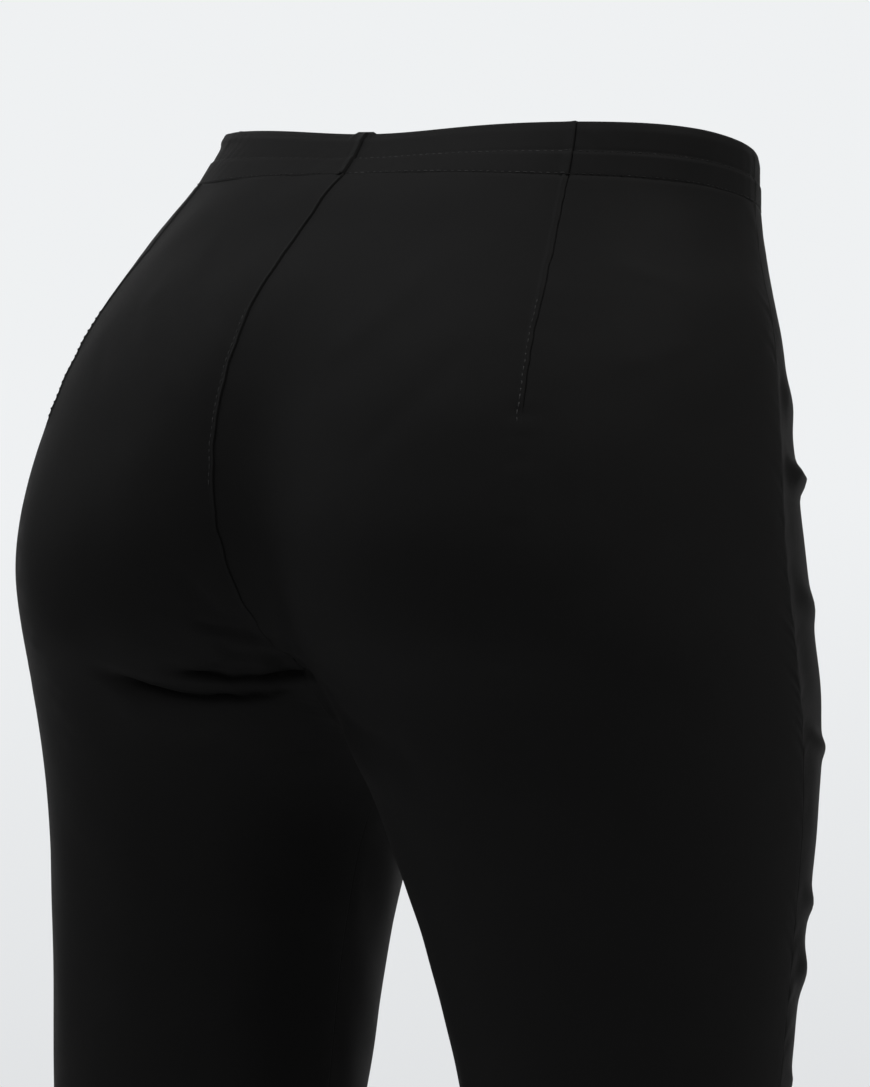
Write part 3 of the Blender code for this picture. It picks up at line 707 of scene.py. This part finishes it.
    def line(self, distance, from_drop, to_drop):
        """Points and normals down the cloth where distance, an array like across, is 0."""
        row = np.arange(len(self.drop))
        i = np.clip((distance < 0.0).sum(axis=1), 1, distance.shape[1] - 1)
        t = -distance[row, i - 1] / (distance[row, i] - distance[row, i - 1])
        drop = self.drop[row, i - 1] + (self.drop[row, i] - self.drop[row, i - 1]) * t
        points = self.outside[row, i - 1] + (self.outside[row, i] - self.outside[row, i - 1]) * t[:, None]
        kept = (from_drop <= drop) & (drop <= to_drop)
        return points[kept], self.normal[row, i][kept]


def allowance_shape(distance, width):
    """A seam's folded allowance: 1 close beside the seam, sloping away to 0."""
    return ease(distance / ALLOWANCE_EDGE) * ease((width - distance) / width)


def seam_relief(distance, down, depth, rise, pucker, seed):
    """A seam's groove at distance 0, the allowance that is folded to this side of it, and its puckers."""
    ridge = rise * allowance_shape(distance, ALLOWANCE_WIDTH)
    waves = uneven(seed, *PUCKER_WAVES, down + PUCKER_SLANT * distance)
    puckers = pucker * waves * np.exp(-distance / PUCKER_REACH) * ease(distance / PUCKER_START)
    return ridge + puckers - depth * bell(distance, GROOVE_WIDTH)


# ---------------- finishes
class Signal:
    """A value that varies over a surface or along a line: an output socket with arithmetic."""

    def __init__(self, nodes, socket):
        self.nodes, self.socket = nodes, socket

    def math(self, operation, *values):
        return self.nodes.node("ShaderNodeMath", enumerate(values), operation=operation)

    def __add__(self, other):
        return self.math("ADD", self, other)

    def __mul__(self, other):
        return self.math("MULTIPLY", self, other)

    def sine(self):
        return self.math("SINE", self)

    __radd__ = __add__
    __rmul__ = __mul__


class Nodes:
    """A node tree, with one way to make and link its nodes."""

    def __init__(self, tree):
        self.tree = tree

    def node(self, kind, inputs=(), output=0, **settings):
        """A node with its settings made first, then its sockets set or linked; returns one of its outputs."""
        node = self.tree.nodes.new(kind)
        for name, value in settings.items():
            setattr(node, name, value)
        for name, value in dict(inputs).items():
            self.feed(node.inputs[name], value)
        return Signal(self, node.outputs[output])

    def feed(self, socket, value):
        if isinstance(value, Signal):
            self.tree.links.new(value.socket, socket)
        else:
            socket.default_value = value


class Finish(Nodes):
    """A material and its nodes."""

    def __init__(self, name):
        self.material = bpy.data.materials.new(name)
        self.material.use_nodes = True
        super().__init__(self.material.node_tree)
        self.surface = self.tree.nodes["Principled BSDF"]

    def set(self, **inputs):
        """Set or link the surface's own sockets, by their names with _ for spaces."""
        for name, value in inputs.items():
            self.feed(self.surface.inputs[name.replace("_", " ")], value)
        return self


CLOTH_DARK = (0.0060, 0.0060, 0.0060, 1.0)
CLOTH_PALE = (0.0088, 0.0088, 0.0088, 1.0)
WHITE = (1.0, 1.0, 1.0, 1.0)
WEAVE_DEPTH = 0.30  # strength of its relief
WEAVE_PITCH = 0.00042  # across the cloth, for two threads
WEAVE_HEIGHT = 0.00012
STREAKS = (900.0, 60.0, 1.0)  # to the metre across and down
CLOUDS = 45.0  # to the metre


def cloth_finish(name):
    """Close black stretch weave: fine threads, long faint streaks down the warp, a soft sheen."""
    finish = Finish(name)
    uv = finish.node("ShaderNodeUVMap", uv_map="cloth")
    streaked = finish.node("ShaderNodeMapping", {"Vector": uv, "Scale": STREAKS})
    streaks = finish.node("ShaderNodeTexNoise", {"Vector": streaked, "Scale": 1.0, "Detail": 2.0})
    clouds = finish.node("ShaderNodeTexNoise", {"Vector": uv, "Scale": CLOUDS, "Detail": 2.0})
    across = finish.node("ShaderNodeSeparateXYZ", {"Vector": uv}, "X")
    down = finish.node("ShaderNodeSeparateXYZ", {"Vector": uv}, "Y")
    thread = 2 * math.pi / WEAVE_PITCH
    weave = (across * thread).sine() * (down * thread * 0.8).sine()
    tone = streaks * 0.6 + clouds * 0.4
    colour = finish.node("ShaderNodeMix", {0: tone, 6: CLOTH_DARK, 7: CLOTH_PALE}, 2, data_type="RGBA")
    relief = weave * 0.5 + streaks * 0.8
    bump = finish.node("ShaderNodeBump", {
        "Height": relief, "Strength": WEAVE_DEPTH, "Distance": WEAVE_HEIGHT})
    finish.set(Base_Color=colour, Roughness=streaks * 0.12 + 0.60, Normal=bump, Specular_IOR_Level=0.05)
    finish.set(Sheen_Weight=0.015, Sheen_Roughness=0.30, Sheen_Tint=WHITE)
    return finish.material


def thread_finish(name, grey):
    """Sewing thread in a given grey, a little glossier than the cloth. The grey carries painted light: paler
    than the cloth as a painted glint, or near-black as a painted shade.
    """
    finish = Finish(name)
    finish.set(Base_Color=(grey, grey, grey, 1.0), Roughness=0.45, Specular_IOR_Level=0.2)
    return finish.material


def make_panel(name, node, panel, material):
    """The fine shell of one back or front, in place of its solid."""
    rows, across = panel.drop.shape
    points = np.concatenate([panel.outside.reshape(-1, 3), panel.inside().reshape(-1, 3)])
    uv = np.stack([panel.across.ravel(), -panel.down.ravel()], axis=1)
    flip = panel.half * panel.face < 0
    piece = mesh_object(name, points, wall_faces(rows, across, flip), np.concatenate([uv, uv]), material)
    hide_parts(node)
    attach(piece, "root")


def edge_lean(drop):
    """How far both layers of the casing lean in towards its top edge."""
    return EDGE_LEAN * (1.0 - ease(drop / EDGE_LEAN_DEPTH))


def casing_height(drop):
    """How far the casing stands off the form: two soft channels between its stitched rows."""
    height = np.zeros_like(drop)
    for start, end, puff in CHANNELS:
        below = drop - start
        t = np.clip(below / (end - start), 0.0, 1.0)
        height += puff * ease(below / CHANNEL_LIP) * (1.0 - t ** CHANNEL_FALL)
    rows = bell(drop - CASING_ROW, ROW_WIDTH) + bell(drop - CASING_DEPTH, LAST_ROW_WIDTH)
    return height - ROW_SINK * rows - edge_lean(drop)


def casing_profile():
    """The folded cloth's section as drop, height: up outside, over the fold, down inside, and back within."""
    drop = CASING_DEPTH * (1.0 - graded(44)[:-4])
    outside = np.stack([drop, casing_height(drop)], axis=1)
    start_drop, start_height = outside[-1]
    inner_height = -CASING_LAYERS - EDGE_LEAN
    middle = (start_height + inner_height) / 2
    turn = np.linspace(0.0, math.pi, 11)[1:]
    fold = np.stack([
        start_drop * (1.0 - np.sin(turn)),
        middle + (start_height - middle) * np.cos(turn),
    ], axis=1)
    inside_drop = np.linspace(start_drop, CASING_DEPTH, 12)[1:]
    inside = np.stack([inside_drop, -CASING_LAYERS - edge_lean(inside_drop)], axis=1)
    path = np.concatenate([outside, fold, inside])
    along = np.gradient(path, axis=0)
    within = np.stack([-along[:, 1], along[:, 0]], axis=1) / np.linalg.norm(along, axis=1, keepdims=True)
    return np.concatenate([path, (path + CLOTH * within)[::-1]]), len(outside)


def casing_shares(half, face):
    """Where the casing's columns stand, as shares of its run, and the share where its dart stands."""
    at = np.array([CASING_ROW])
    side, end = curve("side_seam", at)[0], inner_bearing(half, face, at)[0]
    run = abs(end - side) * math.pi / 180 * CASING_RADIUS
    if face < 0:
        return graded(round(run / CASING_SEGMENT))[:, None], None
    dart_share = (curve("dart", at)[0] - side) / (end - side)
    to_dart = graded(round(run * dart_share / CASING_SEGMENT)) * dart_share
    from_dart = dart_share + graded(round(run * (1 - dart_share) / CASING_SEGMENT))[1:] * (1 - dart_share)
    return np.concatenate([to_dart, from_dart])[:, None], dart_share


def make_casing(name, node, half, face, material):
    """A fine quarter of the waist casing. Its two stitched rows come back as lines: those whose thread keeps
    its grey, and those whose thread is painted near-black as painted shade.
    """
    seed = CASING_SEED + 2 * half + face
    profile, outside_count = casing_profile()
    share, dart_share = casing_shares(half, face)
    drop = profile[:, 0] + 0 * share
    bearing = bearings(half, face, drop, share, dart_share)
    x, y = on_form(half, bearing, drop)
    x[-1], y[-1] = centre_seam(face, drop[-1])
    normal = squared(outward(x, y, drop), np.s_[-1, :, 0])
    base = place(x, y, drop)
    across = lengths(base, 0)
    to_centre = across[-1:] - across
    number = np.minimum(np.arange(len(profile)), np.arange(len(profile))[::-1])
    outer = 1.0 - ease((number - outside_count) / 10.0)
    gathered = 0.5 + 0.5 * bell(drop - CASING_ROW, GATHER_REACH)
    relief = GATHER * uneven(seed, *GATHER_WAVES, across) * gathered
    relief = relief + seam_relief(across, drop, PRESSED_DEPTH, 0.0, CASING_PUCKER / 2, seed + 5)
    relief = relief + seam_relief(to_centre, drop, CASING_GROOVE, 0.0, CASING_PUCKER, seed + 6)
    folded = allowance_shape(to_centre, CASING_ALLOWANCE) * (1.0 if half > 0 else 0.0)
    bump = CENTRE_BUMP * ease((CENTRE_BUMP_REACH[half] - to_centre) / CENTRE_BUMP_END)
    if face > 0:
        column = int(np.argmin(np.abs(share[:, 0] - dart_share)))
        beside = across - across[column]
        folded = folded + DART_IN_CASING[half] * allowance_shape(beside, CASING_ALLOWANCE)
        bump = bump + DART_BUMP * allowance_shape(beside, 1.5 * CASING_ALLOWANCE)
        pinch = uneven(seed + 7, *PUCKER_WAVES, drop + PUCKER_SLANT * beside)
        relief = relief + CASING_PUCKER * pinch * np.exp(-np.abs(beside) / PUCKER_REACH)
        relief = relief - CASING_GROOVE * bell(beside, GROOVE_WIDTH)
    relief = relief + CASING_RISE * folded
    upright = EDGE_UPRIGHT * ease(-x / UPRIGHT_REACH) * edge_lean(np.maximum(drop, 0.0))
    height = profile[:, 1] + relief * outer + upright
    loops = base + normal * height[..., None]
    loops[..., 2] += bump * bell(drop, BUMP_DEPTH)
    down = lengths(loops, 1)
    uv = np.stack([across.ravel(), -down.ravel()], axis=1)
    rows, size = drop.shape
    piece = mesh_object(name, loops.reshape(-1, 3), tube_faces(rows, size, half * face < 0), uv, material)
    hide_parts(node)
    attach(piece, "root")
    # only between the centre back and the right dart does the thread keep its grey; every other casing row
    # gets the same thread painted near-black, a painted shade for thread lying in the cloth's grooves
    split = column if face > 0 and half < 0 else len(loops) - 1
    plain_rows, rows_painted_dark = [], []
    for row_drop in (CASING_ROW, LAST_ROW):
        k = int(np.argmin(np.abs(profile[:outside_count, 0] - row_drop)))
        points, ups = loops[:, k], normal[:, k]
        if split < len(loops) - 1:
            plain_rows.append((points[split:], ups[split:]))
        if split > 0:
            rows_painted_dark.append((points[:split + 1], ups[:split + 1]))
    return plain_rows, rows_painted_dark


# ---------------- stitches
def stitch_tree(name, material):
    """Geometry nodes that lay bowed stitches along a line, whose "up" attribute is the cloth's normal."""
    tree = bpy.data.node_groups.new(name, "GeometryNodeTree")
    sizes = {"Spacing": STITCH_SPACING, "Length": STITCH_LENGTH, "Thread radius": THREAD_RADIUS}
    tree.interface.new_socket("Line", in_out="INPUT", socket_type="NodeSocketGeometry")
    for size, value in sizes.items():
        tree.interface.new_socket(size, in_out="INPUT", socket_type="NodeSocketFloat").default_value = value
    tree.interface.new_socket("Seed", in_out="INPUT", socket_type="NodeSocketInt")
    tree.interface.new_socket("Stitches", in_out="OUTPUT", socket_type="NodeSocketGeometry")
    nodes = Nodes(tree)
    given = {socket.name: Signal(nodes, socket) for socket in tree.nodes.new("NodeGroupInput").outputs}
    line = nodes.node("GeometryNodeMeshToCurve", {"Mesh": given["Line"]})
    spaced = nodes.node("GeometryNodeResampleCurve",
                        {"Curve": line, "Length": given["Spacing"]}, mode="LENGTH")
    half_length, radius = given["Length"] * 0.5, given["Thread radius"]
    sink = radius * THREAD_SINK
    start = nodes.node("ShaderNodeCombineXYZ", {"X": half_length * -1.0, "Z": sink})
    middle = nodes.node("ShaderNodeCombineXYZ", {"Z": radius * THREAD_CROWN})
    end = nodes.node("ShaderNodeCombineXYZ", {"X": half_length, "Z": sink})
    bow = nodes.node("GeometryNodeCurveQuadraticBezier",
                     {"Resolution": 5, "Start": start, "Middle": middle, "End": end})
    ring = nodes.node("GeometryNodeCurvePrimitiveCircle", {"Resolution": 6, "Radius": radius})
    thread = nodes.node("GeometryNodeCurveToMesh", {"Curve": bow, "Profile Curve": ring, "Fill Caps": True})
    tangent = nodes.node("GeometryNodeInputTangent")
    up = nodes.node("GeometryNodeInputNamedAttribute", {"Name": "up"}, data_type="FLOAT_VECTOR")
    along = nodes.node("FunctionNodeAlignRotationToVector", {"Vector": tangent}, axis="X")
    turned = nodes.node("FunctionNodeAlignRotationToVector", {"Rotation": along, "Vector": up},
                        axis="Z", pivot_axis="X")
    scale = nodes.node("FunctionNodeRandomValue",
                       {"Min": SMALLEST_STITCH, "Max": LARGEST_STITCH, "Seed": given["Seed"]},
                       data_type="FLOAT_VECTOR")
    laid = nodes.node("GeometryNodeInstanceOnPoints",
                      {"Points": spaced, "Instance": thread, "Rotation": turned, "Scale": scale})
    real = nodes.node("GeometryNodeRealizeInstances", {"Geometry": laid})
    smooth = nodes.node("GeometryNodeSetShadeSmooth", {"Geometry": real})
    finished = nodes.node("GeometryNodeSetMaterial", {"Geometry": smooth, "Material": material})
    nodes.feed(tree.nodes.new("NodeGroupOutput").inputs["Stitches"], finished)
    return tree


def make_stitches(name, tree, lines, seed):
    """One plain mesh of all the stitches along several lines of points and normals."""
    points = np.concatenate([line for line, _ in lines])
    ups = np.concatenate([normals for _, normals in lines])
    edges, first = [], 0
    for line, _ in lines:
        edges += [(i, i + 1) for i in range(first, first + len(line) - 1)]
        first += len(line)
    mesh = bpy.data.meshes.new(name + "_lines")
    mesh.from_pydata(points.tolist(), edges, [])
    up = mesh.attributes.new("up", "FLOAT_VECTOR", "POINT")
    up.data.foreach_set("vector", ups.astype(np.float32).ravel())
    lines_object = add_object(name + "_lines", mesh)
    modifier = lines_object.modifiers.new("stitches", "NODES")
    modifier.node_group = tree
    identifier = {item.name: item.identifier for item in tree.interface.items_tree if item.in_out == "INPUT"}
    modifier[identifier["Seed"]] = seed
    evaluated = lines_object.evaluated_get(bpy.context.evaluated_depsgraph_get())
    stitches = add_object(name, bpy.data.meshes.new_from_object(evaluated))
    bpy.data.objects.remove(lines_object, do_unlink=True)
    bpy.data.meshes.remove(mesh)
    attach(stitches, "root")


# ---------------- stage, lights and camera
CAMERA_AZIMUTH = math.radians(218.0)
CAMERA_DISTANCE = 1.90
CAMERA_TARGET = Vector((0.023, 0.0, -0.174))
TO_CAMERA = Vector((math.sin(CAMERA_AZIMUTH), -math.cos(CAMERA_AZIMUTH), 0.0))
TO_RIGHT = Vector((-TO_CAMERA.y, TO_CAMERA.x, 0.0))
IMAGE_LONG_SIDE = 1087
PIXELS_PER_METRE = 2290  # at the target
SENSOR = 0.036
FLOOR_DROP = 1.02  # waist to floor on a standing figure
FLOOR_RADIUS = 4.0
FLOOR_SIDES = 64
FLOOR_COLOUR = (0.80, 0.80, 0.81, 1.0)
WALL_COLOUR = (0.862, 0.878, 0.890, 1.0)
LOW_WALL_COLOUR = (0.752, 0.766, 0.780, 1.0)
WALL_SHADE = (-0.13, 0.01)  # slopes of view between which the wall turns from low to high colour
ROOM_GLOW = 0.19  # of the room's own soft light, from all sides

# Lights face the garment from places to the right of, above and nearer than the camera's target.
LIGHT_COLUMNS = ("name", "right", "up", "near", "size", "power", "colour")
LIGHTS = (
    ("overhead", -0.70, 1.80, 0.30, 0.9, 20, (0.99, 0.99, 1.0)),
    ("left_panel", -1.5, 0.9, -0.4, 1.2, 7.5, (0.98, 0.99, 1.0)),
    ("right_panel", 0.95, 1.15, 0.25, 0.6, 11, (1.0, 0.985, 0.97)),
    ("fill", -0.1, 0.0, 1.7, 1.2, 3.2, (1.0, 1.0, 1.0)),
    ("lit_wall", 0.0, 0.1, -2.0, 2.6, 17, (1.0, 1.0, 1.0)),
)


def make_camera():
    camera = add_object("camera", bpy.data.cameras.new("camera"))
    camera.location = CAMERA_TARGET + TO_CAMERA * CAMERA_DISTANCE
    camera.rotation_mode = "QUATERNION"
    camera.rotation_quaternion = (-TO_CAMERA).to_track_quat("-Z", "Y")
    camera.data.sensor_width = SENSOR * 1000
    camera.data.lens = SENSOR * 1000 * PIXELS_PER_METRE * CAMERA_DISTANCE / IMAGE_LONG_SIDE
    camera.data.clip_end = 60.0
    bpy.context.scene.camera = camera


def make_light(name, right, up, near, size, power, colour):
    """A soft square light that faces the garment and doesn't show itself."""
    data = bpy.data.lights.new(name, "AREA")
    data.shape = "SQUARE"
    data.size = size
    data.energy = power
    data.color = colour
    light = add_object(name, data)
    light.location = CAMERA_TARGET + TO_RIGHT * right + Vector((0, 0, up)) + TO_CAMERA * near
    light.rotation_mode = "QUATERNION"
    light.rotation_quaternion = (CAMERA_TARGET - light.location).to_track_quat("-Z", "Y")
    light.visible_camera = False


def make_floor():
    """A pale round floor."""
    mesh = bpy.data.meshes.new("floor")
    angles = [2 * math.pi * i / FLOOR_SIDES for i in range(FLOOR_SIDES)]
    ring = [(FLOOR_RADIUS * math.cos(angle), FLOOR_RADIUS * math.sin(angle), -FLOOR_DROP) for angle in angles]
    mesh.from_pydata(ring, [], [tuple(range(FLOOR_SIDES))])
    finish = Finish("floor_paint")
    finish.set(Base_Color=FLOOR_COLOUR, Roughness=0.8, Specular_IOR_Level=0.1)
    mesh.materials.append(finish.material)
    floor = add_object("floor", mesh)


def make_room():
    """A pale wall all round, a little darker towards the floor, and the room's own light."""
    world = bpy.data.worlds.new("room")
    bpy.context.scene.world = world
    world.use_nodes = True
    room = Nodes(world.node_tree)
    wall, surface = room.tree.nodes["Background"], room.tree.nodes["World Output"].inputs["Surface"]
    view = room.node("ShaderNodeTexCoord", output="Generated")
    slope = room.node("ShaderNodeSeparateXYZ", {0: view}, "Z")
    low, high = WALL_SHADE
    shade = room.node("ShaderNodeMapRange", {"Value": slope, "From Min": low, "From Max": high})
    colour = room.node("ShaderNodeMix", {0: shade, 6: LOW_WALL_COLOUR, 7: WALL_COLOUR}, 2, data_type="RGBA")
    room.feed(wall.inputs["Color"], colour)
    glow = room.node("ShaderNodeBackground", {"Color": WHITE, "Strength": ROOM_GLOW})
    seen = room.node("ShaderNodeLightPath", output="Is Camera Ray")
    both = room.node("ShaderNodeMixShader", {0: seen, 1: glow, 2: Signal(room, wall.outputs[0])})
    room.feed(surface, both)
    bpy.context.scene.view_settings.view_transform = "Standard"


# ---------------- the whole
def main():
    cloth = cloth_finish("stretch_cloth")
    casing_cloth = cloth_finish("casing_cloth")
    # The thread's grey, over three times paler than the cloth's, is partly painted highlight: it stands in
    # for the glints on the stitches.
    tree = stitch_tree("stitch_row", thread_finish("thread_painted_glint", 0.027))
    # The near-black thread is the same thread with painted shade, for the casing rows that lie shaded in
    # their grooves.
    painted_shade_tree = stitch_tree("stitch_row_painted_shade", thread_finish("thread_painted_shade", 0.003))
    waist_rows, rows_with_painted_shade, seam_rows, dart_rows, hem_rows = [], [], [], [], []
    for side, half in (("left", 1), ("right", -1)):
        for part, face in (("back", 1), ("front", -1)):
            node = part + "_" + side
            panel = Panel(half, face)
            make_panel("cloth_" + node, node, panel, cloth)
            # Each casing gives its rows of plain thread and its rows whose thread gets painted shade.
            plain_rows, rows_painted_dark = make_casing("casing_" + node, "waist_casing_" + node, half, face, casing_cloth)
            waist_rows += plain_rows
            rows_with_painted_shade += rows_painted_dark
            hem = int(np.argmin(np.abs(panel.drop[:, 0] - (LENGTH - HEM_ROW))))
            hem_rows.append((panel.outside[hem], panel.normal[hem]))
            if face > 0:
                dart = panel.dart_column
                beside = panel.across - panel.across[:, dart:dart + 1]
                dart_rows.append(panel.line(beside - EDGE_STITCH, *DART_STITCHES))
            if half > 0:
                seam_rows.append(panel.line(SEAM_STITCH - panel.to_inner, *SEAM_STITCHES))
    make_stitches("waist_stitches", tree, waist_rows, 1)
    # These stitches carry the near-black thread of painted shade.
    make_stitches("waist_stitches_painted_shade", painted_shade_tree, rows_with_painted_shade, 5)
    make_stitches("centre_seam_stitches", tree, seam_rows, 2)
    make_stitches("dart_stitches", tree, dart_rows, 3)
    make_stitches("hem_stitches", tree, hem_rows, 4)
    make_floor()
    make_room()
    make_camera()
    for light in LIGHTS:
        make_light(**dict(zip(LIGHT_COLUMNS, light)))


main()
